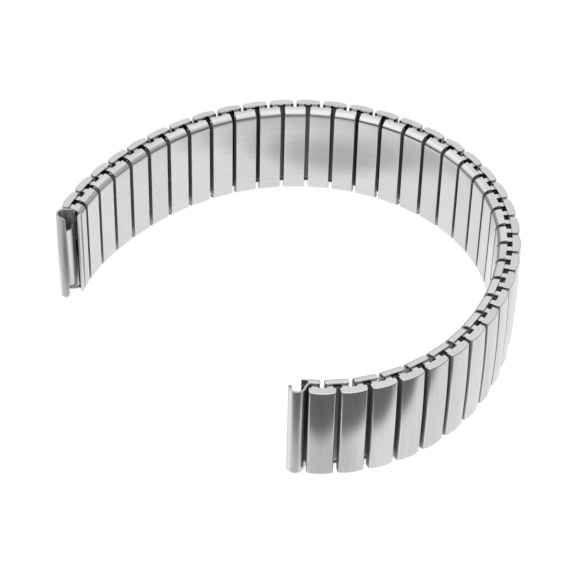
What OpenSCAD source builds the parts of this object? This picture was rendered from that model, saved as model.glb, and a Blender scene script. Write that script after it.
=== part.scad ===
// Expansion watch strap of brushed steel, standing on the bottom edge of its band.
// The band is curved as it lies off the wrist, and +Z runs across its width.
// Every link has its own axes: x along the band, y away from the wrist, z up.

// Which piece to draw

/* [Band] */

// Width of the band, from its bottom edge to its top edge
band_width = 16; // [12:0.5:22]
// Length of an outer link along the band
outer_length = 3.9; // [3.8:0.05:4.6]
// Space between two outer links
outer_space = 0.4; // [0.3:0.05:0.6]
// Space between two inner links
inner_space = 0.9; // [0.85:0.05:1.2]
// Thickness of an outer link at its middle
outer_thickness = 1.5; // [1.4:0.05:2]
// Thickness of an inner link
inner_thickness = 1.5; // [1.4:0.05:2]
// Space between the outer row and the inner row
row_space = 0.85; // [0.6:0.05:1.2]

/* [Curve] */

// Heading of the band at its left end, in degrees
start_heading = 77.2; // [60:0.1:90]
// Turn from one outer link to the next at the left end, in degrees
angle_at_left_end = 7.8; // [6:0.1:9]
// Turn per link one eighth of the way round
angle_at_left_side = 4.6; // [3.5:0.1:6]
// Turn per link a quarter of the way round
angle_at_left_back = 7.5; // [7:0.1:8.2]
// Turn per link at the middle of the band
angle_at_back = 7.9; // [7:0.1:8.2]
// Turn per link five eighths of the way round
angle_at_right_back = 7.9; // [7:0.1:8.2]
// Turn per link three quarters of the way round
angle_at_right_side = 5.4; // [4.5:0.1:6.5]
// Turn per link seven eighths of the way round
angle_at_front = 8; // [7.5:0.1:9]
// Turn from one outer link to the next at the right end
angle_at_right_end = 12.1; // [10:0.1:12.5]

/* [Outer links] */

// Sheet thickness of the shell
shell_thickness = 0.18; // [0.14:0.01:0.2]
// Thickness of the D-shaped plates that close both ends of a link
plate_thickness = 0.25; // [0.15:0.01:0.35]
// How far the middle of the shell stands above its side edges
crown_rise = 0.3; // [0.2:0.02:0.4]
// How far the middle of the shell stands above its ends
end_drop = 0.2; // [0.1:0.02:0.24]
// Radius of the shell's long edges
shell_edge_radius = 0.3; // [0.22:0.02:0.4]
// Width of the tabs that hold the sleeve in the shell
tab_width = 0.5; // [0.3:0.05:0.8]
// Thickness of the tabs
tab_thickness = 0.12; // [0.08:0.01:0.16]
// Length of the tabs, as a share of the band's width
tab_share = 0.5; // [0.2:0.05:0.8]
// Wall of the outer sleeve
outer_wall = 0.17; // [0.12:0.01:0.18]

/* [Inner links] */

// Wall of the inner sleeve
inner_wall = 0.2; // [0.15:0.01:0.24]
// Radius between the wrist face and the end plates
wrist_end_radius = 1.1; // [0.4:0.05:1.15]
// Radius of the long edges on the wrist face
wrist_edge_radius = 0.08; // [0.06:0.01:0.3]

/* [Staples and springs] */

// Width of the flat strip that the staples are bent from
strip_width = 0.9; // [0.7:0.02:0.94]
// Thickness of the strip
strip_thickness = 0.24; // [0.16:0.01:0.25]
// Length of a staple's legs, as a share of the band's width
leg_share = 0.38; // [0.3:0.01:0.44]
// Thickness of a leaf spring
spring_thickness = 0.1; // [0.06:0.01:0.12]
// How far the middle of a leaf spring stands off its sleeve
spring_bow = 0.05; // [0.02:0.01:0.05]
// Angle through which a staple turns in its sleeves as the band stretches
staple_angle = 15; // [5:1:16]

/* [End pieces] */

// Outer diameter of the rolled tube for a spring bar
tube_diameter = 2.55; // [2.3:0.05:2.9]
// Sheet thickness of an end piece
tube_wall = 0.3; // [0.2:0.02:0.4]
// Space between the tube and the last outer link
tube_space = 0.27; // [0.2:0.01:0.5]
// Height of the tube's middle above the middle of the row space
tube_height = 0.45; // [0.3:0.05:0.6]
// Opening between the sheet and the rolled edge, in degrees round the tube
seam_angle = 45; // [30:1:50]
// Depth of the notch at both ends of the tube
notch_depth = 2.5; // [1.5:0.1:3.5]
// Radius of the lip beside the notch
lip_radius = 0.8; // [0.3:0.05:0.9]
// Space between the end sleeve's free side and the tube's side
end_sleeve_space = 0.12; // [0.05:0.01:0.2]

/* [Clearances] */

// Play between a sleeve and its shell
sleeve_play = 0.03; // [0.01:0.01:0.04]
// Play beside a staple's leg at the end of its swing
leg_play = 0.02; // [0.01:0.01:0.03]
// Play under and over a staple's web
web_play = 0.05; // [0.03:0.01:0.08]
// Play beside a leaf spring in its sleeve
spring_play = 0.1; // [0.05:0.01:0.2]
// How far a leaf spring ends inside its sleeve
spring_end_play = 0.6; // [0.5:0.05:0.9]

/* [Hidden] */

$fn = 64;
LONG_ARC = 720;
LINKS = 35;
STEEL = [0.76, 0.76, 0.75];
BRIGHT = [0.83, 0.83, 0.82];
SPRING = [0.6, 0.61, 0.62];
W = band_width;

// How far a cutting solid reaches past what it cuts, and how far joined outlines overlap
PAST = 1;
LAP = 0.01;

pitch = outer_length + outer_space;
inner_length = pitch - inner_space;

// Outer link, measured from the middle of the row space
outer_bottom = row_space / 2;
outer_crown = outer_bottom + outer_thickness;
crown_radius = (pow(outer_length / 2, 2) + pow(crown_rise, 2)) / (2 * crown_rise);
crown_centre = outer_crown - crown_radius;
edge_x = outer_length / 2 - shell_edge_radius;
edge_y = crown_centre + sqrt(pow(crown_radius - shell_edge_radius, 2) - pow(edge_x, 2));
drop_radius = (pow(W / 2, 2) + pow(end_drop, 2)) / (2 * end_drop);
outer_half = outer_length / 2 - shell_thickness - sleeve_play;
sleeve_top = outer_crown - crown_rise - shell_thickness;
cavity_half = outer_half - outer_wall;
cavity_low = outer_bottom + outer_wall;
cavity_high = sleeve_top - outer_wall;

// Inner link
inner_top = -row_space / 2;
inner_low = inner_top - inner_thickness;
inner_half = inner_length / 2;
inner_cavity_half = inner_half - inner_wall;
inner_fold = wrist_end_radius - inner_wall;

// Where the staples' webs pass between the sleeves and the end plates
web_z = plate_thickness + web_play;
sleeve_z = web_z + strip_thickness + web_play;
leg_length = leg_share * W;

// A bow leans a little in its sleeves while the band is at rest
outer_lean_angle = 3;
inner_lean_angle = 7;
rest_offset = 0.07;

// How far a leg reaches from its own middle once it has turned
turned_outer_angle = staple_angle + outer_lean_angle;
turned_inner_angle = staple_angle + inner_lean_angle;
reach_outer = strip_width / 2 * sin(turned_outer_angle) + strip_thickness / 2 * cos(turned_outer_angle);
reach_inner = strip_width / 2 * sin(turned_inner_angle) + strip_thickness / 2 * cos(turned_inner_angle);
reach_side = norm([strip_width, strip_thickness]) / 2;
outer_room = cavity_half - reach_side - leg_play;
inner_room = inner_cavity_half - reach_side - leg_play;
spare = max(0, outer_room + inner_room - pitch / 2 + rest_offset) / 2;
outer_leg = [outer_room - spare, cavity_low + leg_play + reach_outer];
inner_leg = [inner_room - spare, inner_top - inner_wall - leg_play - reach_inner];
leg_space = outer_leg[1] - inner_leg[1];

// End piece, measured from the middle of the place of an inner link
tube_radius = tube_diameter / 2;
tube_x = outer_length / 2 - pitch / 2 + tube_space + tube_radius;
end_sleeve_x = tube_x - tube_radius - end_sleeve_space;
sheet_root = tube_wall - 2 * LAP;
notch_x = tube_x - tube_radius + tube_wall + 4 * LAP;
notch_edge = tube_height - tube_radius / 2;

// Turn per link at a half step of the band
function turn(j) = lookup((j + 0.5) / 2, [
    [0, angle_at_left_end],
    [LINKS / 8, angle_at_left_side],
    [LINKS / 4, angle_at_left_back],
    [LINKS / 2, angle_at_back],
    [LINKS * 5 / 8, angle_at_right_back],
    [LINKS * 3 / 4, angle_at_right_side],
    [LINKS * 7 / 8, angle_at_front],
    [LINKS + 1, angle_at_right_end]
]);

// Stations half a pitch apart: x, y and heading, clockwise from the left end
stations = [
    for (
        j = 0, x = 0, y = 0, h = start_heading;
        j <= 2 * (LINKS + 1);
        x = x + pitch / 2 * cos(h - turn(j) / 4),
        y = y + pitch / 2 * sin(h - turn(j) / 4),
        h = h - turn(j) / 2,
        j = j + 1
    )
    [x, y, h]
];

// A point of the plan, given in the axes of station s
function on_plan(s, p) =
    let (a = stations[2 * s])
    [a[0] + p[0] * cos(a[2]) - p[1] * sin(a[2]), a[1] + p[0] * sin(a[2]) + p[1] * cos(a[2])];

// How far outer link k reaches in direction a
function link_reach(k, a) =
    let (d = a - stations[2 * k][2] - 90, m = on_plan(k, [0, 0]) * [cos(a), sin(a)])
    m + (cos(d) > cos(asin(edge_x / (crown_radius - shell_edge_radius)))
        ? crown_centre * cos(d) + crown_radius
        : edge_x * abs(sin(d)) + edge_y * cos(d) + shell_edge_radius);

// How far the whole band reaches in direction a
function band_reach(a) = max(concat(
    [for (k = [1 : LINKS]) link_reach(k, a)],
    [on_plan(0.5, [-tube_x, tube_height]) * [cos(a), sin(a)] + tube_radius],
    [on_plan(LINKS + 0.5, [tube_x, tube_height]) * [cos(a), sin(a)] + tube_radius]
));

centre = [(band_reach(0) - band_reach(180)) / 2, (band_reach(90) - band_reach(270)) / 2];

// First and last outer link of a section: the middle section is one link shorter
function first(k) = k <= 5 ? 4 * k - 3 : 4 * k - 4;
function last(k) = k < 5 ? 4 * k : 4 * k - 1;

module at(s) {
    p = on_plan(s, [0, 0]) - centre;
    translate([p[0], p[1], 0])
        rotate([0, 0, stations[2 * s][2]])
            children();
}

// Cross-section of an outer link, made smaller all round by t
module crown_profile(t, low) {
    tip = edge_x * (crown_radius - t) / (crown_radius - shell_edge_radius);
    intersection() {
        translate([0, crown_centre]) circle(crown_radius - t);
        translate([-tip, low]) square([2 * tip, outer_crown - low]);
    }
    for (side = [-1, 1])
        translate([side * edge_x, edge_y]) circle(shell_edge_radius - t);
    translate([-outer_length / 2 + t, low]) square([outer_length - 2 * t, edge_y - low]);
}

// Solid with that cross-section, lower at both ends than in the middle
module crown_solid(t, low, z) {
    intersection() {
        translate([0, 0, z]) linear_extrude(W - 2 * z) crown_profile(t, low);
        translate([-outer_length, outer_crown - drop_radius, W / 2])
            rotate([0, 90, 0])
                cylinder(r = drop_radius - t, h = 2 * outer_length, $fn = LONG_ARC);
    }
}

module outer_shell() {
    difference() {
        crown_solid(0, outer_bottom, 0);
        crown_solid(shell_thickness, outer_bottom - PAST, plate_thickness);
    }
    for (side = [-1, 1])
        translate([
            side * (outer_length / 2 - tab_width / 2) - tab_width / 2,
            outer_bottom - tab_thickness,
            W * (1 - tab_share) / 2
        ])
            cube([tab_width, tab_thickness, W * tab_share]);
}

module outer_sleeve() {
    difference() {
        translate([-outer_half, outer_bottom, sleeve_z])
            cube([2 * outer_half, sleeve_top - outer_bottom, W - 2 * sleeve_z]);
        translate([-cavity_half, cavity_low, 0])
            cube([2 * cavity_half, cavity_high - cavity_low, W]);
    }
}

// Side view of an inner link, y by z: both wrist corners are rounded
module wrist_profile(low, high, z, radius) {
    translate([low + radius, z]) square([high - low - radius, W - 2 * z]);
    translate([low, z + radius]) square([radius + LAP, W - 2 * z - 2 * radius]);
    for (zz = [z + radius, W - z - radius])
        translate([low + radius, zz]) circle(radius);
}

module wrist_solid(x0, x1, low, high, z, radius) {
    translate([x0, 0, 0])
        rotate([90, 0, 90])
            linear_extrude(x1 - x0)
                wrist_profile(low, high, z, radius);
}

// Cross-section of an inner link with its two wrist edges rounded
module inner_profile(x0, x1) {
    r = wrist_edge_radius;
    translate([x0, inner_low + r]) square([x1 - x0, inner_thickness - r]);
    translate([x0 + r, inner_low]) square([x1 - x0 - 2 * r, r + LAP]);
    for (x = [x0 + r, x1 - r])
        translate([x, inner_low + r]) circle(r);
}

// Sleeve whose wrist side is folded over both ends, from x0 to x1 along the band
module wrist_sleeve(x0, x1) {
    difference() {
        intersection() {
            linear_extrude(W) inner_profile(x0, x1);
            wrist_solid(x0 - PAST, x1 + PAST, inner_low, inner_top, 0, wrist_end_radius);
        }
        wrist_solid(x0 + inner_wall, x1 - inner_wall, inner_low + inner_wall,
            inner_top - inner_wall, plate_thickness, inner_fold);
        for (z = [0, W - sleeve_z])
            intersection() {
                wrist_solid(x0 - PAST, x1 + PAST, inner_low + inner_wall, inner_top + PAST,
                    plate_thickness, inner_fold);
                translate([x0 - 2 * PAST, inner_low, z])
                    cube([x1 - x0 + 4 * PAST, inner_thickness + 2 * PAST, sleeve_z]);
            }
    }
}

// Flat spring that stands off the wall at y by its bow, towards side
module leaf_spring(x0, x1, y, side) {
    half = W / 2 - sleeve_z - spring_end_play;
    radius = (pow(half, 2) + pow(spring_bow, 2)) / (2 * spring_bow);
    intersection() {
        translate([x0, y - spring_bow - spring_thickness, W / 2 - half])
            cube([x1 - x0, 2 * (spring_bow + spring_thickness), 2 * half]);
        translate([x0 - PAST, y + side * (spring_bow + spring_thickness - radius), W / 2])
            rotate([0, 90, 0])
                difference() {
                    cylinder(r = radius, h = x1 - x0 + 2 * PAST, $fn = LONG_ARC);
                    translate([0, 0, -PAST])
                        cylinder(r = radius - spring_thickness, h = x1 - x0 + 4 * PAST, $fn = LONG_ARC);
                }
    }
}

// Bow of flat strip: a web across both rows and a leg down into each sleeve
module bow() {
    half = leg_space / 2;
    bend = strip_thickness;
    for (side = [-1, 1]) {
        translate([-strip_width / 2, side * half - strip_thickness / 2, web_z + bend])
            cube([strip_width, strip_thickness, leg_length - bend]);
        translate([-strip_width / 2, side * (half + strip_thickness / 2 - bend), web_z + bend])
            rotate([0, 90, 0])
                cylinder(r = bend, h = strip_width);
    }
    translate([-strip_width / 2, bend - half - strip_thickness / 2, web_z])
        cube([strip_width, leg_space + strip_thickness - 2 * bend, strip_thickness]);
}

// The bows that join outer link k to the inner link on its side (-1 left, 1 right)
module staples(k, side) {
    a = on_plan(k, [side * outer_leg[0], outer_leg[1]]);
    b = on_plan(k + side / 2, [-side * inner_leg[0], inner_leg[1]]);
    m = (a + b) / 2 - centre;
    translate([m[0], m[1], 0])
        rotate([0, 0, atan2(a[1] - b[1], a[0] - b[0]) - 90]) {
            bow();
            translate([0, 0, W]) rotate([0, 180, 0]) bow();
        }
}

// Sheet that leaves the end sleeve's outer corner and rolls into a tube
module tube_profile() {
    far = tube_x - tube_radius;
    difference() {
        translate([tube_x, tube_height]) circle(tube_radius);
        translate([tube_x, tube_height]) circle(tube_radius - tube_wall);
        translate([tube_x, tube_height])
            polygon([
                [0, 0],
                [-2 * tube_radius, 0],
                [-2 * tube_radius, -2 * tube_radius * tan(seam_angle)]
            ]);
    }
    polygon([
        [end_sleeve_x - sheet_root, inner_top],
        [end_sleeve_x, inner_top - sheet_root],
        [far + tube_wall, tube_height],
        [far, tube_height]
    ]);
}

// Cuts the rolled edge back at one end of the tube and rounds the lip beside it
module notch() {
    translate([notch_x, notch_edge - 2 * tube_radius, -PAST])
        cube([2 * tube_radius, 2 * tube_radius, notch_depth + PAST]);
    difference() {
        translate([tube_x + tube_radius / 4, notch_edge - LAP, -PAST])
            cube([tube_radius, lip_radius + LAP, lip_radius + PAST]);
        translate([tube_x, notch_edge + lip_radius, lip_radius])
            rotate([0, 90, 0])
                cylinder(r = lip_radius, h = 2 * tube_radius);
    }
}

module end_piece() {
    wrist_sleeve(-inner_half, end_sleeve_x);
    difference() {
        linear_extrude(W) tube_profile();
        notch();
        translate([0, 0, W]) mirror([0, 0, 1]) notch();
    }
}

// Turns what belongs to the right end into its twin for the left end
module left_twin() {
    translate([0, 0, W]) rotate([0, 180, 0]) children();
}

module section_shells(k) {
    color(STEEL)
        for (i = [first(k) : last(k)])
            at(i) outer_shell();
}

module section_outer_sleeves(k) {
    color(BRIGHT)
        for (i = [first(k) : last(k)])
            at(i) outer_sleeve();
}

module section_inner_sleeves(k) {
    color(BRIGHT)
        for (i = [max(2, first(k)) : last(k)])
            at(i - 0.5) wrist_sleeve(-inner_half, inner_half);
}

module section_springs(k) {
    color(SPRING) {
        for (i = [first(k) : last(k)])
            at(i)
                leaf_spring(spring_play - cavity_half, cavity_half - spring_play, cavity_high, -1);
        for (i = [max(2, first(k)) : last(k)])
            at(i - 0.5)
                leaf_spring(spring_play - inner_cavity_half, inner_cavity_half - spring_play,
                    inner_low + inner_wall, 1);
    }
}

module section_staples(k) {
    color(STEEL)
        for (i = [first(k) : last(k)]) {
            if (i > 1)
                staples(i, -1);
            if (i < last(k))
                staples(i, 1);
        }
}

module end_spring() {
    color(SPRING)
        leaf_spring(spring_play - inner_cavity_half, end_sleeve_x - inner_wall - spring_play,
            inner_low + inner_wall, 1);
}

module section_1_outer_shells() {
    section_shells(1);
}

module section_1_outer_sleeves() {
    section_outer_sleeves(1);
}

module section_1_inner_sleeves() {
    section_inner_sleeves(1);
}

module section_1_leaf_springs() {
    section_springs(1);
}

module section_1_staples() {
    section_staples(1);
}

module section_2_outer_shells() {
    section_shells(2);
}

module section_2_outer_sleeves() {
    section_outer_sleeves(2);
}

module section_2_inner_sleeves() {
    section_inner_sleeves(2);
}

module section_2_leaf_springs() {
    section_springs(2);
}

module section_2_staples() {
    section_staples(2);
}

module section_3_outer_shells() {
    section_shells(3);
}

module section_3_outer_sleeves() {
    section_outer_sleeves(3);
}

module section_3_inner_sleeves() {
    section_inner_sleeves(3);
}

module section_3_leaf_springs() {
    section_springs(3);
}

module section_3_staples() {
    section_staples(3);
}

module section_4_outer_shells() {
    section_shells(4);
}

module section_4_outer_sleeves() {
    section_outer_sleeves(4);
}

module section_4_inner_sleeves() {
    section_inner_sleeves(4);
}

module section_4_leaf_springs() {
    section_springs(4);
}

module section_4_staples() {
    section_staples(4);
}

module section_5_outer_shells() {
    section_shells(5);
}

module section_5_outer_sleeves() {
    section_outer_sleeves(5);
}

module section_5_inner_sleeves() {
    section_inner_sleeves(5);
}

module section_5_leaf_springs() {
    section_springs(5);
}

module section_5_staples() {
    section_staples(5);
}

module section_6_outer_shells() {
    section_shells(6);
}

module section_6_outer_sleeves() {
    section_outer_sleeves(6);
}

module section_6_inner_sleeves() {
    section_inner_sleeves(6);
}

module section_6_leaf_springs() {
    section_springs(6);
}

module section_6_staples() {
    section_staples(6);
}

module section_7_outer_shells() {
    section_shells(7);
}

module section_7_outer_sleeves() {
    section_outer_sleeves(7);
}

module section_7_inner_sleeves() {
    section_inner_sleeves(7);
}

module section_7_leaf_springs() {
    section_springs(7);
}

module section_7_staples() {
    section_staples(7);
}

module section_8_outer_shells() {
    section_shells(8);
}

module section_8_outer_sleeves() {
    section_outer_sleeves(8);
}

module section_8_inner_sleeves() {
    section_inner_sleeves(8);
}

module section_8_leaf_springs() {
    section_springs(8);
}

module section_8_staples() {
    section_staples(8);
}

module section_9_outer_shells() {
    section_shells(9);
}

module section_9_outer_sleeves() {
    section_outer_sleeves(9);
}

module section_9_inner_sleeves() {
    section_inner_sleeves(9);
}

module section_9_leaf_springs() {
    section_springs(9);
}

module section_9_staples() {
    section_staples(9);
}

module joint_1_staples() {
    color(STEEL) staples(last(1), 1);
}

module joint_2_staples() {
    color(STEEL) staples(last(2), 1);
}

module joint_3_staples() {
    color(STEEL) staples(last(3), 1);
}

module joint_4_staples() {
    color(STEEL) staples(last(4), 1);
}

module joint_5_staples() {
    color(STEEL) staples(last(5), 1);
}

module joint_6_staples() {
    color(STEEL) staples(last(6), 1);
}

module joint_7_staples() {
    color(STEEL) staples(last(7), 1);
}

module joint_8_staples() {
    color(STEEL) staples(last(8), 1);
}

module left_end_staples() {
    color(STEEL) staples(1, -1);
}

module right_end_staples() {
    color(STEEL) staples(LINKS, 1);
}

module left_end_piece() {
    color(BRIGHT) at(0.5) left_twin() end_piece();
}

module right_end_piece() {
    color(BRIGHT) at(LINKS + 0.5) end_piece();
}

module left_end_leaf_spring() {
    at(0.5) left_twin() end_spring();
}

module right_end_leaf_spring() {
    at(LINKS + 0.5) end_spring();
}

section_1_outer_shells();
section_1_outer_sleeves();
section_1_inner_sleeves();
section_1_leaf_springs();
section_1_staples();
section_2_outer_shells();
section_2_outer_sleeves();
section_2_inner_sleeves();
section_2_leaf_springs();
section_2_staples();
section_3_outer_shells();
section_3_outer_sleeves();
section_3_inner_sleeves();
section_3_leaf_springs();
section_3_staples();
section_4_outer_shells();
section_4_outer_sleeves();
section_4_inner_sleeves();
section_4_leaf_springs();
section_4_staples();
section_5_outer_shells();
section_5_outer_sleeves();
section_5_inner_sleeves();
section_5_leaf_springs();
section_5_staples();
section_6_outer_shells();
section_6_outer_sleeves();
section_6_inner_sleeves();
section_6_leaf_springs();
section_6_staples();
section_7_outer_shells();
section_7_outer_sleeves();
section_7_inner_sleeves();
section_7_leaf_springs();
section_7_staples();
section_8_outer_shells();
section_8_outer_sleeves();
section_8_inner_sleeves();
section_8_leaf_springs();
section_8_staples();
section_9_outer_shells();
section_9_outer_sleeves();
section_9_inner_sleeves();
section_9_leaf_springs();
section_9_staples();
joint_1_staples();
joint_2_staples();
joint_3_staples();
joint_4_staples();
joint_5_staples();
joint_6_staples();
joint_7_staples();
joint_8_staples();
left_end_staples();
right_end_staples();
left_end_piece();
right_end_piece();
left_end_leaf_spring();
right_end_leaf_spring();
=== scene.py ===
import random
from math import atan2, cos, degrees, pi, radians, sin
import bmesh
import bpy
from mathutils import Matrix, Vector


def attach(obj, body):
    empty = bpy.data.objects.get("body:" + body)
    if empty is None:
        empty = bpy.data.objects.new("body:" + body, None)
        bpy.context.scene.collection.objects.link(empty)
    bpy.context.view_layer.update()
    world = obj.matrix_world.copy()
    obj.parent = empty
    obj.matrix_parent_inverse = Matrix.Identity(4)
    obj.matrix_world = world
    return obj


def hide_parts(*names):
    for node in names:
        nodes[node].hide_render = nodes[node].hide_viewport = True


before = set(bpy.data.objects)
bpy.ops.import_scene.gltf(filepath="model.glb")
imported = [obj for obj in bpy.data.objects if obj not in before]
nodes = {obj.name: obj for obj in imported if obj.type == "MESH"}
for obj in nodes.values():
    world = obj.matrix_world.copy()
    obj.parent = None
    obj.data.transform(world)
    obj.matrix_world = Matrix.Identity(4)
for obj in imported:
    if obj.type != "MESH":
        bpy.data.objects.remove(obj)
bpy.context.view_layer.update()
sectionCount = sum(1 for name in nodes if name.endswith("_outer_shells"))
print("frame loaded:", len(nodes), "nodes,", sectionCount, "sections")

# every piece is modelled in millimetres in the axes of its link and shrunk when it is placed:
# x along the band, y away from the wrist, z up
mm = 0.001
band = {"width": 16, "rowSpace": 0.85}


# ---- working by hand

def selectOnly(*pieces):
    if bpy.context.object and bpy.context.object.mode != "OBJECT":
        bpy.ops.object.mode_set(mode="OBJECT")
    bpy.ops.object.select_all(action="DESELECT")
    for piece in pieces:
        piece.select_set(True)
    bpy.context.view_layer.objects.active = pieces[0]


def shape(piece):  # into edit mode with nothing selected
    selectOnly(piece)
    bpy.ops.object.mode_set(mode="EDIT")
    bpy.ops.mesh.select_all(action="DESELECT")


def done():
    bpy.ops.object.mode_set(mode="OBJECT")


def pick(kind, test):  # VERT, EDGE or FACE
    bpy.ops.mesh.select_mode(type=kind)
    bpy.ops.mesh.select_all(action="DESELECT")
    mesh = bmesh.from_edit_mesh(bpy.context.object.data)
    for item in {"VERT": mesh.verts, "EDGE": mesh.edges, "FACE": mesh.faces}[kind]:
        if test(item):
            item.select_set(True)
    mesh.select_flush_mode()
    bmesh.update_edit_mesh(bpy.context.object.data)


hair = 1e-3


def near(a, b):
    return abs(a - b) < hair


def isLevel(edge):
    return near(edge.verts[0].co.z, edge.verts[1].co.z)


def bevel(test, width, steps):
    pick("EDGE", test)
    bpy.ops.mesh.bevel(offset=width, segments=steps, affect="EDGES", clamp_overlap=False)


def cutOff(point, normal):  # drops what lies on the normal's side and closes the cut
    bpy.ops.mesh.select_all(action="SELECT")
    bpy.ops.mesh.bisect(plane_co=point, plane_no=normal, use_fill=True, clear_outer=True)


def cutAcross(point, normal):  # adds a row of edges and drops nothing
    bpy.ops.mesh.select_all(action="SELECT")
    bpy.ops.mesh.bisect(plane_co=point, plane_no=normal)


def weld():
    bpy.ops.mesh.select_all(action="SELECT")
    bpy.ops.mesh.remove_doubles(threshold=1e-4)


def pull(x, y, z):
    bpy.ops.mesh.extrude_region_move(TRANSFORM_OT_translate={"value": (x, y, z)})


def addBlock(name, low, high):
    bpy.ops.object.select_all(action="DESELECT")
    size = [b - a for a, b in zip(low, high)]
    middle = [(a + b) / 2 for a, b in zip(low, high)]
    bpy.ops.mesh.primitive_cube_add(size=1, location=middle, scale=size)
    block = bpy.context.object
    block.name = name
    bpy.ops.object.transform_apply(location=True, rotation=True, scale=True)
    return block


def addRod(name, vertices, radius, depth, middle, ends="NGON"):
    bpy.ops.object.select_all(action="DESELECT")
    bpy.ops.mesh.primitive_cylinder_add(
        vertices=vertices, radius=radius, depth=depth, location=middle, end_fill_type=ends)
    rod = bpy.context.object
    rod.name = name
    bpy.ops.object.transform_apply(location=True, rotation=True, scale=True)
    return rod


def applied(piece, kind, **values):
    selectOnly(piece)
    modifier = piece.modifiers.new(kind.lower(), kind)
    for name, value in values.items():
        setattr(modifier, name, value)
    bpy.ops.object.modifier_apply(modifier=modifier.name)


def combine(piece, cutter, operation):
    applied(piece, "BOOLEAN", object=cutter, operation=operation, solver="EXACT")
    bpy.data.objects.remove(cutter)


rubbing = {"startsAt": 0.96, "span": 0.14}  # how far a face turns from the flat ones


def finishMaster(piece, hidden, angle=32):  # hidden tells which faces are left raw, and the same faces are darkened as painted shade where they sit in gaps and hollows
    selectOnly(piece)
    bpy.ops.object.shade_smooth_by_angle(angle=radians(angle))
    applied(piece, "WEIGHTED_NORMAL", keep_sharp=True, weight=60)
    worn = piece.data.attributes.new("wear", "FLOAT", "FACE")  # rounded edges are rubbed brighter
    rawAndShaded = piece.data.attributes.new("rawAndShaded", "FLOAT", "FACE")
    for face in piece.data.polygons:
        flat = max(abs(v) for v in face.normal)
        worn.data[face.index].value = min(1, max(0, (rubbing["startsAt"] - flat) / rubbing["span"]))
        # this mask marks raw, unpolished faces and also carries painted shade for the gaps between
        # links and the inside of the tube
        rawAndShaded.data[face.index].value = hidden(face)


# faces that look along the band into the gaps between links, which take painted shade
def besideGap(face):
    return abs(face.normal.x) > 0.8


def facesRow(face):  # what an inner link turns to the outer row, which takes painted shade as well
    return besideGap(face) or face.normal.y > 0.8


# ---- where the links stand

def solidsOf(name):
    solid = bpy.data.objects.new("solids", nodes[name].data.copy())
    bpy.context.collection.objects.link(solid)
    shape(solid)
    bpy.ops.mesh.select_all(action="SELECT")
    bpy.ops.mesh.remove_doubles(threshold=1e-6)
    bpy.ops.mesh.separate(type="LOOSE")
    done()
    return list(bpy.context.selected_objects)


def axesOf(solid):  # the walls of a link stand square to each other, which gives its heading
    walls = [f for f in solid.data.polygons if abs(f.normal.z) < 0.01]
    angles = [(f.area, 4 * atan2(f.normal.y, f.normal.x)) for f in walls]
    turn = atan2(sum(a * sin(t) for a, t in angles), sum(a * cos(t) for a, t in angles)) / 4
    points = [v.co for v in solid.data.vertices]
    middle = sum(points, Vector()) / len(points)
    outwards = atan2(middle.y, middle.x)
    turn += pi / 2 * round((outwards - turn) / (pi / 2))
    away = Vector((cos(turn), sin(turn), 0))
    return Vector((away.y, -away.x, 0)), away, points


def placeAt(along, away, origin):
    place = Matrix.Identity(4)
    for column, axis in enumerate((along * mm, away * mm, Vector((0, 0, mm)), origin)):
        for row in range(3):
            place[row][column] = axis[row]
    return place


def placesOf(name, side, reach):  # reach is that of the crown or the wrist face from the row space
    places = []
    for solid in solidsOf(name):
        along, away, points = axesOf(solid)
        a = [p.dot(along) for p in points]
        b = [p.dot(away) * side for p in points]
        origin = along * (min(a) + max(a)) / 2 + away * side * (max(b) - reach * mm)
        places.append(placeAt(along, away, origin))
        bpy.data.objects.remove(solid)
    return sorted(places, key=lambda m: -atan2(m[1][3], m[0][3]))


tones = random.Random(11)


def setOut(master, places, name):  # one copy of the master at each place, joined into one piece
    copies = []
    for place in places:
        mesh = master.data.copy()
        mesh.transform(place)
        tone = mesh.attributes.new("tone", "FLOAT", "POINT")
        tone.data.foreach_set("value", [tones.uniform(-1, 1)] * len(mesh.vertices))
        copies.append(bpy.data.objects.new(name, mesh))
        bpy.context.collection.objects.link(copies[-1])
    selectOnly(*copies)
    if len(copies) > 1:
        bpy.ops.object.join()
    piece = bpy.context.object
    piece.name = name
    return piece


# ---- outer links: drawn shells with a crowned face and closed ends

outerLink = {
    "length": 3.9,
    "thickness": 1.5,
    "crownRise": 0.3,
    "endDrop": 0.2,
    "longEdge": 0.36,
    "endEdge": 0.17,
    "edgeSteps": 5,
    "sideShare": 0.5,
    "wall": 0.18,
    "endPlate": 0.25,
    "hollow": 1.06,
    "tabWidth": 0.5,
    "tabThickness": 0.12,
    "tabEnds": (4, 12),
    "crownSteps": 144,
    "levels": (0.9, *range(2, 15), 15.1),
    "shoulder": 0.1,
}


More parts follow.
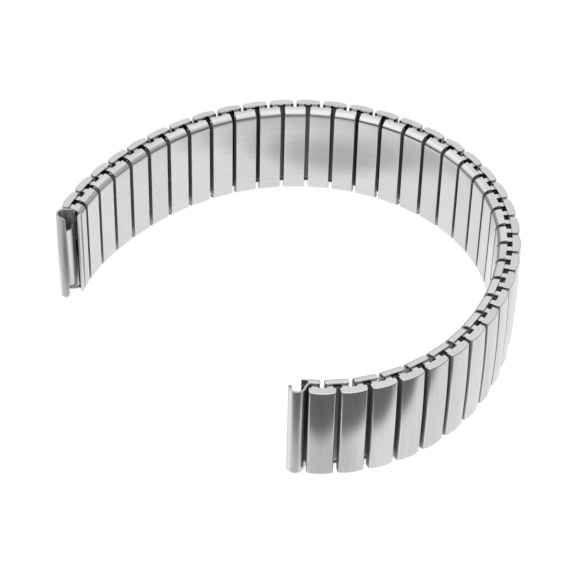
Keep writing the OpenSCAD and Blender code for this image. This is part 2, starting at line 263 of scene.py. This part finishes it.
def makeOuterShell():
    values = outerLink
    width, half = band["width"], values["length"] / 2
    bottom = band["rowSpace"] / 2
    crown = bottom + values["thickness"]
    shoulder = bottom + values["shoulder"]
    radius = (half ** 2 + values["crownRise"] ** 2) / (2 * values["crownRise"])
    shell = addRod("outer shell", values["crownSteps"], radius, width, (0, crown - radius, width / 2))
    shape(shell)
    cutOff((half, 0, 0), (1, 0, 0))
    cutOff((-half, 0, 0), (-1, 0, 0))
    cutOff((0, bottom, 0), (0, -1, 0))
    bevel(lambda e: all(near(abs(v.co.x), half) and v.co.y > shoulder for v in e.verts)
          and e.calc_length() > 1, values["longEdge"], values["edgeSteps"])
    for z in values["levels"]:
        cutAcross((0, 0, z), (0, 0, 1))
    for z in (0, *values["levels"], width):  # the crown falls a little towards both ends
        pick("VERT", lambda v: near(v.co.z, z) and v.co.y > shoulder)
        drop = values["endDrop"] * ((z - width / 2) / (width / 2)) ** 2
        bpy.ops.transform.translate(value=(0, -drop, 0))
    weld()
    done()
    weights = shell.data.attributes.new("bevel_weight_edge", "FLOAT", "EDGE")
    for edge in shell.data.edges:  # widest at the crown, narrower down the sides
        a, b = (shell.data.vertices[i].co for i in edge.vertices)
        ends = near(a.z, b.z) and (near(a.z, 0) or near(a.z, width))
        if ends and not (near(a.y, bottom) and near(b.y, bottom)):
            level = abs(a.x - b.x) / (a - b).length
            weights.data[edge.index].value = values["sideShare"] + (1 - values["sideShare"]) * level
    applied(shell, "BEVEL", width=values["endEdge"], segments=values["edgeSteps"],
            limit_method="WEIGHT", use_clamp_overlap=False)
    shape(shell)
    pick("FACE", lambda f: f.normal.y < -0.99)
    wall, plate = values["wall"], values["endPlate"]
    bpy.ops.mesh.inset(thickness=wall, depth=0)
    shorter = (width - 2 * plate) / (width - 2 * wall)
    bpy.ops.transform.resize(value=(1, 1, shorter), center_override=(0, bottom, width / 2))
    pull(0, values["hollow"], 0)
    low, high = values["tabEnds"]
    for side in (-1, 1):  # tabs folded over the sleeve
        pick("FACE", lambda f: f.normal.y < -0.99 and near(f.calc_center_median().y, bottom)
             and f.calc_center_median().x * side > half - wall
             and low < f.calc_center_median().z < high)
        pull(0, -values["tabThickness"], 0)
        pick("FACE", lambda f: f.normal.x * side < -0.9 and f.calc_center_median().x * side > 0
             and f.calc_center_median().y < bottom - 0.01)
        pull(-side * (values["tabWidth"] - wall), 0, 0)
    done()
    finishMaster(shell, besideGap)
    return shell


# ---- inner links: sleeves with their wrist side folded over both ends

innerLink = {
    "length": 3.4,
    "thickness": 1.5,
    "wall": 0.2,
    "wristEnd": 1.1,
    "wristEdge": 0.08,
    "endPlate": 0.25,
    "slot": 0.34,
    "grooveLap": 0.1,
    "wristEndSteps": 8,
    "wristEdgeSteps": 3,
    "cavitySteps": 6,
}


def makeInnerSleeve(name, x0, x1, hidden, grooves=(), depth=0):
    values = innerLink
    width = band["width"]
    top = -band["rowSpace"] / 2
    low = top - values["thickness"]
    wall, plate, wristEnd = values["wall"], values["endPlate"], values["wristEnd"]
    sleeve = addBlock(name, (x0, low, 0), (x1, top, width))
    shape(sleeve)
    bevel(lambda e: isLevel(e) and all(near(v.co.y, low) for v in e.verts),
          wristEnd, values["wristEndSteps"])
    bevel(lambda e: any(all(near(v.co.x, x) for v in e.verts) for x in (x0, x1))
          and all(v.co.y < low + wristEnd + hair for v in e.verts),
          values["wristEdge"], values["wristEdgeSteps"])
    done()
    # the cavity, and at both ends the way through for the bows
    slotEnd = plate + values["slot"]
    for past, cut in ((0, None), (1, (slotEnd, 1)), (1, (width - slotEnd, -1))):
        inset = -past if past else wall
        room = addBlock("room", (x0 + inset, low + wall, plate),
                        (x1 - inset, top - wall + 2 * past, width - plate))
        shape(room)
        bevel(lambda e: isLevel(e) and all(near(v.co.y, low + wall) for v in e.verts),
              wristEnd - wall, values["cavitySteps"])
        if cut:
            cutOff((0, 0, cut[0]), (0, 0, cut[1]))
        done()
        combine(sleeve, room, "DIFFERENCE")
    for start, end in grooves:  # along the free side, from one way through to the other
        groove = addBlock("groove", (x1 - depth, low + start, slotEnd - values["grooveLap"]),
                          (x1 + 1, low + end, width - slotEnd + values["grooveLap"]))
        combine(sleeve, groove, "DIFFERENCE")
    shape(sleeve)
    weld()
    done()
    finishMaster(sleeve, hidden)
    return sleeve


# ---- end pieces: a half sleeve whose sheet rolls up into the tube for a spring bar

endPiece = {
    "sleeveEnd": -0.05,
    "grooves": ((0.16, 0.44), (0.76, 1.2)),
    "grooveDepth": 0.26,
    "tubeX": 1.345,
    "tubeY": 0.45,
    "tubeRadius": 1.275,
    "tubeSteps": 72,
    "wall": 0.3,
    "lap": 0.02,
    "notch": 2.5,
    "lip": 0.8,
    "lipSteps": 8,
    "sheetEdge": 0.07,
    "sheetEdgeSteps": 2,
    "sharpAngle": 40,
    "seam": (180, 225),
    "open": (210, 330),
    "sleeveWear": 0.7,
}


def makeEndPiece():
    values = endPiece
    width, radius, wall = band["width"], values["tubeRadius"], values["wall"]
    x, y = values["tubeX"], values["tubeY"]
    tube = addRod("tube", values["tubeSteps"], radius, width, (x, y, width / 2), "NOTHING")

    def between(face, span):
        middle = face.calc_center_median()
        angle = degrees(atan2(middle.y - y, middle.x - x)) % 360
        return span[0] < angle < span[1]

    shape(tube)
    pick("FACE", lambda f: between(f, values["seam"]))
    bpy.ops.mesh.delete(type="FACE")
    for z in (values["notch"], width - values["notch"]):
        cutAcross((0, 0, z), (0, 0, 1))
    pick("FACE", lambda f: between(f, values["open"]) and
         not values["notch"] < f.calc_center_median().z < width - values["notch"])
    bpy.ops.mesh.delete(type="FACE")
    # the sheet runs on from the tube to the corner of the sleeve
    pick("EDGE", lambda e: e.is_boundary and all(near(v.co.x, x - radius) for v in e.verts))
    top = -band["rowSpace"] / 2
    pull(values["sleeveEnd"] - wall + values["lap"] - (x - radius), top - y, 0)
    bpy.ops.mesh.select_all(action="SELECT")
    bpy.ops.mesh.normals_make_consistent(inside=False)
    done()
    applied(tube, "SOLIDIFY", thickness=wall, offset=-1, use_even_offset=True)
    # lips beside the notches are rounded off
    edge = y - radius / 2
    keep = addBlock("keep", (x - 2 * radius, edge, 0), (x + 2 * radius, y + 2 * radius, width))
    shape(keep)
    bevel(lambda e: isLevel(e) and all(near(v.co.y, edge) for v in e.verts),
          values["lip"], values["lipSteps"])
    for z in (values["notch"], width - values["notch"]):
        cutAcross((0, 0, z), (0, 0, 1))
    pick("FACE", lambda f: near(f.calc_center_median().y, edge) and f.normal.y < -0.9 and
         values["notch"] < f.calc_center_median().z < width - values["notch"])
    pull(0, -3 * radius, 0)
    done()
    side = addBlock("side", (x - 3 * radius, y - 2 * radius, -1), (x, y + 2 * radius, width + 1))
    combine(keep, side, "UNION")
    combine(tube, keep, "INTERSECT")
    applied(tube, "BEVEL", width=values["sheetEdge"], segments=values["sheetEdgeSteps"],
            limit_method="ANGLE", angle_limit=radians(values["sharpAngle"]))

    # faces inside the tube, and those turned into it from the sleeve side, take painted shade
    def insideTube(face):
        out = face.center - Vector((x, y, face.center.z))
        faced = face.center.x < x - radius / 2 and face.normal.x > 0.3
        return faced or (out.length < radius - wall / 2 and out.dot(face.normal) < 0)

    # the half sleeve's sides towards its neighbour and the row, and the floors of its grooves, take
    # painted shade
    def inSleeve(face):
        return facesRow(face) and face.center.x < values["sleeveEnd"] - values["lap"]

    finishMaster(tube, insideTube, values["sharpAngle"])
    sleeve = makeInnerSleeve("end sleeve", -innerLink["length"] / 2, values["sleeveEnd"], inSleeve,
                             values["grooves"], values["grooveDepth"])
    for item in sleeve.data.attributes["wear"].data:  # the half sleeve is rubbed all over
        item.value = max(item.value, values["sleeveWear"])
    selectOnly(tube, sleeve)
    bpy.ops.object.join()
    return tube


# ---- finishes

class Wire:  # a socket that sums can be written with
    def __init__(self, board, socket):
        self.board, self.socket = board, socket

    def sum(self, operation, *values):
        return self.board.add("ShaderNodeMath", {"operation": operation}, dict(enumerate(values)))

    def __add__(self, other):
        return self.sum("ADD", self, other)

    def __radd__(self, other):
        return self.sum("ADD", other, self)

    def __sub__(self, other):
        return self.sum("SUBTRACT", self, other)

    def __rsub__(self, other):
        return self.sum("SUBTRACT", other, self)

    def __mul__(self, other):
        return self.sum("MULTIPLY", self, other)

    def __rmul__(self, other):
        return self.sum("MULTIPLY", other, self)

    def __pow__(self, other):
        return self.sum("POWER", self, other)

    def __abs__(self):
        return self.sum("ABSOLUTE", self)

    def fade(self, low, high):  # 0 below low, 1 above high
        return self.board.add(
            "ShaderNodeMapRange", {"interpolation_type": "SMOOTHSTEP"}, {0: self, 1: low, 2: high})


class Board:  # the nodes of one material
    def __init__(self, owner):
        owner.use_nodes = True
        self.tree = owner.node_tree
        self.tree.nodes.clear()

    def add(self, kind, settings=None, sockets=None, out=0):
        node = self.tree.nodes.new(kind)
        for name, value in (settings or {}).items():
            setattr(node, name, value)
        for name, value in (sockets or {}).items():
            if isinstance(value, Wire):
                self.tree.links.new(value.socket, node.inputs[name])
            else:
                node.inputs[name].default_value = value
        return Wire(self, node.outputs[out]) if node.outputs else node

    def noise(self, period, stretch, detail, shift, lean=0, across=False):
        # drawn out up the band, or along it where across is set
        size = 1 / (period * mm)
        scale = (size / stretch, size / stretch, size) if across else (size, size, size / stretch)
        coords = self.add("ShaderNodeTexCoord", out="Object")
        spread = self.add("ShaderNodeMapping", sockets={
            "Vector": coords, "Location": (shift, 2 * shift, 3 * shift), "Rotation": (lean, lean, 0),
            "Scale": scale})
        return self.add("ShaderNodeTexNoise", sockets={
            "Vector": spread, "Scale": 1, "Detail": detail, "Roughness": 0.6})

    def mix(self, factor, a, b):
        return self.add("ShaderNodeMix", {"data_type": "RGBA"}, {0: factor, 6: a, 7: b}, out=2)


# each raw colour is unpolished steel darkened as painted shade for faces in the gaps between links
steel = {
    "satin shell": {
        "dark": (0.56, 0.56, 0.555, 1), "light": (0.7, 0.7, 0.692, 1),
        "rubbed": (0.75, 0.75, 0.742, 1), "rawAndShaded": (0.36, 0.36, 0.36, 1),
        "roughness": 0.22, "spread": 0.08, "rubbedRoughness": 0.18,
        "streak": 0.5, "grain": 0.14, "depth": 0.9, "tone": 0.35},
    "brushed sleeve": {
        "dark": (0.6, 0.6, 0.594, 1), "light": (0.73, 0.73, 0.722, 1),
        "rubbed": (0.75, 0.75, 0.742, 1), "rawAndShaded": (0.62, 0.62, 0.62, 1),
        "roughness": 0.2, "spread": 0.08, "rubbedRoughness": 0.16, "across": True,
        "streak": 0.34, "grain": 0.12, "depth": 0.55, "tone": 0.5},
    # the outer sleeves show only through the gaps, so their steel is painted very dark as painted shade
    "sleeve steel in painted shade": {
        "dark": (0.11, 0.11, 0.11, 1), "light": (0.18, 0.18, 0.18, 1),
        "rubbed": (0.3, 0.3, 0.3, 1), "rawAndShaded": (0.16, 0.16, 0.16, 1),
        "roughness": 0.34, "spread": 0.12, "rubbedRoughness": 0.2,
        "streak": 0.3, "grain": 0.1, "depth": 0.6, "tone": 0},
    "strip steel": {
        "dark": (0.6, 0.6, 0.595, 1), "light": (0.76, 0.76, 0.752, 1),
        "rubbed": (0.8, 0.8, 0.79, 1), "rawAndShaded": (0.6, 0.6, 0.6, 1),
        "roughness": 0.2, "spread": 0.12, "rubbedRoughness": 0.15,
        "streak": 0.3, "grain": 0.08, "depth": 0.5, "tone": 0},
    "spring steel": {
        "dark": (0.36, 0.36, 0.37, 1), "light": (0.46, 0.46, 0.465, 1),
        "rubbed": (0.6, 0.6, 0.6, 1), "rawAndShaded": (0.36, 0.36, 0.36, 1),
        "roughness": 0.28, "spread": 0.1, "rubbedRoughness": 0.2,
        "streak": 0.3, "grain": 0.1, "depth": 0.4, "tone": 0},
    "end sheet": {
        "dark": (0.43, 0.43, 0.426, 1), "light": (0.58, 0.58, 0.572, 1),
        "rubbed": (0.76, 0.76, 0.75, 1), "rawAndShaded": (0.4, 0.4, 0.4, 1),
        "roughness": 0.4, "spread": 0.14, "rubbedRoughness": 0.2,
        "streak": 0.6, "grain": 0.16, "depth": 0.9, "tone": 0.3},
}


layers = {
    "streak": {"stretch": 40, "detail": 3, "shift": 0.7},
    "grain": {"stretch": 60, "detail": 2, "shift": 3.1},
    "cloud": {"period": 3.5, "stretch": 2, "detail": 4, "shift": 9.4},
    "scratches": {"period": 0.5, "stretch": 25, "detail": 1, "shift": 5.2, "lean": 0.13},
    "dents": {"period": 2.4, "stretch": 1.8, "detail": 1, "shift": 14.6},
}
share = {  # how strongly each layer shows
    "streakShade": 0.8, "grainShade": 0.6, "cloudShade": 0.5, "toneShade": 0.5,
    "wearColour": 0.8, "scratchColour": 0.35, "rawAndShadeColour": 0.8,
    "scratchRoughness": 0.05, "rawRoughness": 0.4,
    "streakHeight": 0.65, "grainHeight": 0.35, "scratchHeight": 0.12, "dentHeight": 1.6,
    "scratchWidth": 0.02, "scratchedFrom": 0.5, "scratchedTo": 0.62, "bump": 0.004,
}


def makeSteel(name):
    values = steel[name]
    material = bpy.data.materials.new(name)
    board = Board(material)
    across = values.get("across", False)
    streak = board.noise(values["streak"], across=across, **layers["streak"])
    grain = board.noise(values["grain"], across=across, **layers["grain"])
    cloud, scratches, dents = (board.noise(**layers[word]) for word in ("cloud", "scratches", "dents"))
    line = 1 - abs(scratches - 0.5).fade(0, share["scratchWidth"])
    scratch = line * cloud.fade(share["scratchedFrom"], share["scratchedTo"])
    tone = board.add("ShaderNodeAttribute", {"attribute_name": "tone"}, out="Fac")
    wear = board.add("ShaderNodeAttribute", {"attribute_name": "wear"}, out="Fac")
    rawAndShaded = board.add("ShaderNodeAttribute", {"attribute_name": "rawAndShaded"}, out="Fac")
    shade = 0.5 + (streak - 0.5) * share["streakShade"] + (grain - 0.5) * share["grainShade"]
    shade = shade + (cloud - 0.5) * share["cloudShade"] + tone * values["tone"] * share["toneShade"]
    colour = board.mix(shade, values["dark"], values["light"])
    colour = board.mix(wear * share["wearColour"], colour, values["rubbed"])
    colour = board.mix(scratch * share["scratchColour"], colour, values["rubbed"])
    # raw faces take the darker colour: unpolished steel plus painted shade in the gaps
    colour = board.mix(rawAndShaded * share["rawAndShadeColour"], colour, values["rawAndShaded"])
    rough = values["roughness"] + (cloud - 0.5) * values["spread"] + (grain - 0.5) * values["spread"]
    rough = rough - wear * (values["roughness"] - values["rubbedRoughness"])
    rough = rough - scratch * share["scratchRoughness"] + rawAndShaded * share["rawRoughness"]
    height = streak * share["streakHeight"] + grain * share["grainHeight"]
    height = height - scratch * share["scratchHeight"] + dents * share["dentHeight"]
    bump = board.add("ShaderNodeBump", sockets={
        "Strength": 1, "Distance": values["depth"] * share["bump"] * mm, "Height": height})
    surface = board.add("ShaderNodeBsdfPrincipled", sockets={
        "Base Color": colour, "Metallic": 1, "Roughness": rough, "Normal": bump})
    board.add("ShaderNodeOutputMaterial", sockets={"Surface": surface})
    return material


finishes = {name: makeSteel(name) for name in steel}
print("finishes made:", len(finishes))


def finish(piece, name):
    piece.data.materials.clear()
    piece.data.materials.append(finishes[name])


# ---- the strap

crownReach = band["rowSpace"] / 2 + outerLink["thickness"]
wristReach = band["rowSpace"] / 2 + innerLink["thickness"]

outerShell = makeOuterShell()
print("outer shell modelled:", len(outerShell.data.polygons), "faces")
sleeveHalf = innerLink["length"] / 2
innerSleeve = makeInnerSleeve("inner sleeve", -sleeveHalf, sleeveHalf, facesRow)
print("inner sleeve modelled:", len(innerSleeve.data.polygons), "faces")
endMaster = makeEndPiece()
print("end piece modelled:", len(endMaster.data.polygons), "faces")

for section in range(1, sectionCount + 1):
    body = f"section_{section}"
    rows = (
        (outerShell, "outer_shells", 1, crownReach, "satin shell", "shells"),
        (innerSleeve, "inner_sleeves", -1, wristReach, "brushed sleeve", "sleeves"),
    )
    for master, kind, side, reach, steelName, word in rows:
        node = f"{body}_{kind}"
        piece = setOut(master, placesOf(node, side, reach), f"{word}_{section}")
        finish(piece, steelName)
        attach(piece, body)
        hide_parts(node)
print("links set out")

# half a turn about the link's own y axis, for the end where the tube lies on the other side
turned = Matrix(((-1, 0, 0, 0), (0, 1, 0, 0), (0, 0, -1, band["width"]), (0, 0, 0, 1)))
for end, hand in (("left", -1), ("right", 1)):
    node = f"{end}_end_piece"
    spring = solidsOf(f"{end}_end_leaf_spring")[0]
    along, away = axesOf(spring)[:2]
    bpy.data.objects.remove(spring)
    points = [v.co for v in nodes[node].data.vertices]
    tip = max(p.dot(along) * hand for p in points)
    wrist = min(p.dot(away) for p in points)
    reach = endPiece["tubeX"] + endPiece["tubeRadius"]
    place = placeAt(along, away, along * hand * (tip - reach * mm) + away * (wrist + wristReach * mm))
    if hand < 0:
        place = place @ turned
    piece = setOut(endMaster, [place], f"{end}_end_sheet")
    finish(piece, "end sheet")
    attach(piece, f"{end}_end")
    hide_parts(node)
for master in (outerShell, innerSleeve, endMaster):
    bpy.data.objects.remove(master)
print("end pieces set out")

# the sleeves inside the outer shells take the finish painted dark as shade for the gaps
for name, node in nodes.items():
    for word, steelName in (("outer_sleeves", "sleeve steel in painted shade"), ("leaf_spring", "spring steel"),
                            ("staples", "strip steel")):
        if word in name:
            for materialSlot in node.material_slots:
                materialSlot.material = finishes[steelName]

# ---- floor, light and camera

studio = {
    "floorSize": 3,
    "floorColour": (0.8, 0.8, 0.8, 1),
    "tableEdge": -43,
    "edgeSoftness": 2.4,
    "edgeTurn": 12,
    "edgeRise": 0.22,
    "pastEdge": 0.155,
    "mirroredLevel": 1.08,
    "mirroredShare": 0.95,
    "seenLevel": 1.12,
    "seenShare": 0.85,
    "patchCore": 0.3,
    # patches of painted shade on the floor, seen only in reflections
    "shadePatches": (  # x, y, radius and strength
        (4.5, 21, 7, 0.42), (6, -4, 21, 0.76), (7, -39, 9, 0.26),
        (-36, -11, 13, 0.8), (-32.5, -2.5, 5.5, 0.3), (-49, 10, 12, 0.3)),
    "boxSize": 0.76,
    "boxHeight": 0.45,
    "boxPower": 0.4,
    "ambient": 0.6,
    "frontShade": 0.72,
    "leftShade": 0.6,
    "rightShade": 0.5,
    "cameraPlace": (0.00022, -0.25181, 0.22232),
    "cameraDown": 40.773,
    "cameraRoll": 1.438,
    "lens": 133.69,
}

bpy.ops.object.select_all(action="DESELECT")
bpy.ops.mesh.primitive_plane_add(size=studio["floorSize"], location=(0, 0, 0))
floor = bpy.context.object
floor.name = "floor"
floorPaint = bpy.data.materials.new("floor paint")
board = Board(floorPaint)
seen = board.add("ShaderNodeLightPath", out="Is Camera Ray")
shiny = board.add("ShaderNodeLightPath", out="Is Glossy Ray")
where = board.add("ShaderNodeTexCoord", out="Object")
floorX = board.add("ShaderNodeSeparateXYZ", sockets={0: where}, out=0) * 1000
floorY = board.add("ShaderNodeSeparateXYZ", sockets={0: where}, out=1) * 1000
# what the steel sees of the table: white as far as its front edge, which turns back at the right; the
# dark past the edge is a painted reflection, and the patches on it are painted shade, both seen only in
# the steel
pastTurn = board.add("ShaderNodeMath", {"operation": "MAXIMUM"}, {0: floorX - studio["edgeTurn"], 1: 0})
beyond = floorY - studio["tableEdge"] - pastTurn * studio["edgeRise"]
dark = 1 - beyond.fade(-studio["edgeSoftness"], studio["edgeSoftness"])
level = studio["mirroredLevel"] * (1 - (1 - studio["pastEdge"]) * dark)
# each patch darkens the reflected floor as painted shade
for x, y, size, strength in studio["shadePatches"]:
    far = ((floorX - x) ** 2 + (floorY - y) ** 2) ** 0.5
    level = level * (1 - strength * (1 - far.fade(size * studio["patchCore"], size)))
paint = board.add("ShaderNodeBsdfDiffuse", sockets={"Color": studio["floorColour"]})
white = board.add("ShaderNodeEmission", sockets={
    "Color": (1, 1, 1, 1), "Strength": studio["seenLevel"]})
mirrored = board.add("ShaderNodeEmission", sockets={"Color": (1, 1, 1, 1), "Strength": level})
surface = board.add("ShaderNodeMixShader", sockets={
    0: seen * studio["seenShare"], 1: paint, 2: white})
surface = board.add("ShaderNodeMixShader", sockets={
    0: shiny * studio["mirroredShare"], 1: surface, 2: mirrored})
board.add("ShaderNodeOutputMaterial", sockets={"Surface": surface})
floor.data.materials.append(floorPaint)

world = bpy.data.worlds.new("studio")
bpy.context.scene.world = world
board = Board(world)
seen = board.add("ShaderNodeLightPath", out="Is Camera Ray")
shiny = board.add("ShaderNodeLightPath", out="Is Glossy Ray")
way = board.add("ShaderNodeTexCoord", out="Generated")
wayX = board.add("ShaderNodeSeparateXYZ", sockets={0: way}, out=0)
wayY = board.add("ShaderNodeSeparateXYZ", sockets={0: way}, out=1)
wayZ = board.add("ShaderNodeSeparateXYZ", sockets={0: way}, out=2)
# what the steel sees of the room: darker low in front, low at the left, and towards the right
front = (1 - wayY.fade(-0.5, 0.1)) * (1 - wayZ.fade(0.3, 0.52))
left = (1 - wayX.fade(-0.6, -0.3)) * (1 - wayZ.fade(0.3, 0.5))
room = 1 - studio["frontShade"] * front
room = room * (1 - studio["leftShade"] * left)
room = room * (1 - studio["rightShade"] * wayX.fade(0.1, 0.75))
level = studio["ambient"] * (1 - shiny) + shiny * room
level = level * (1 - seen) + seen
backdrop = board.add("ShaderNodeBackground", sockets={"Color": (1, 1, 1, 1), "Strength": level})
board.add("ShaderNodeOutputWorld", sockets={"Surface": backdrop})

lamp = bpy.data.lights.new("soft box", "AREA")
lamp.shape = "SQUARE"
lamp.size = studio["boxSize"]
lamp.energy = studio["boxPower"]
softBox = bpy.data.objects.new("soft box", lamp)
softBox.location = (0, 0, studio["boxHeight"])
bpy.context.collection.objects.link(softBox)

cameraData = bpy.data.cameras.new("camera")
cameraData.lens = studio["lens"]
cameraData.sensor_width = 36
cameraData.clip_start, cameraData.clip_end = 0.01, 10
camera = bpy.data.objects.new("camera", cameraData)
camera.location = studio["cameraPlace"]
tilt = Matrix.Rotation(radians(90 - studio["cameraDown"]), 3, "X")
camera.rotation_euler = (tilt @ Matrix.Rotation(radians(studio["cameraRoll"]), 3, "Z")).to_euler()
bpy.context.collection.objects.link(camera)
bpy.context.scene.camera = camera
bpy.context.scene.view_settings.view_transform = "Standard"
print("studio ready")
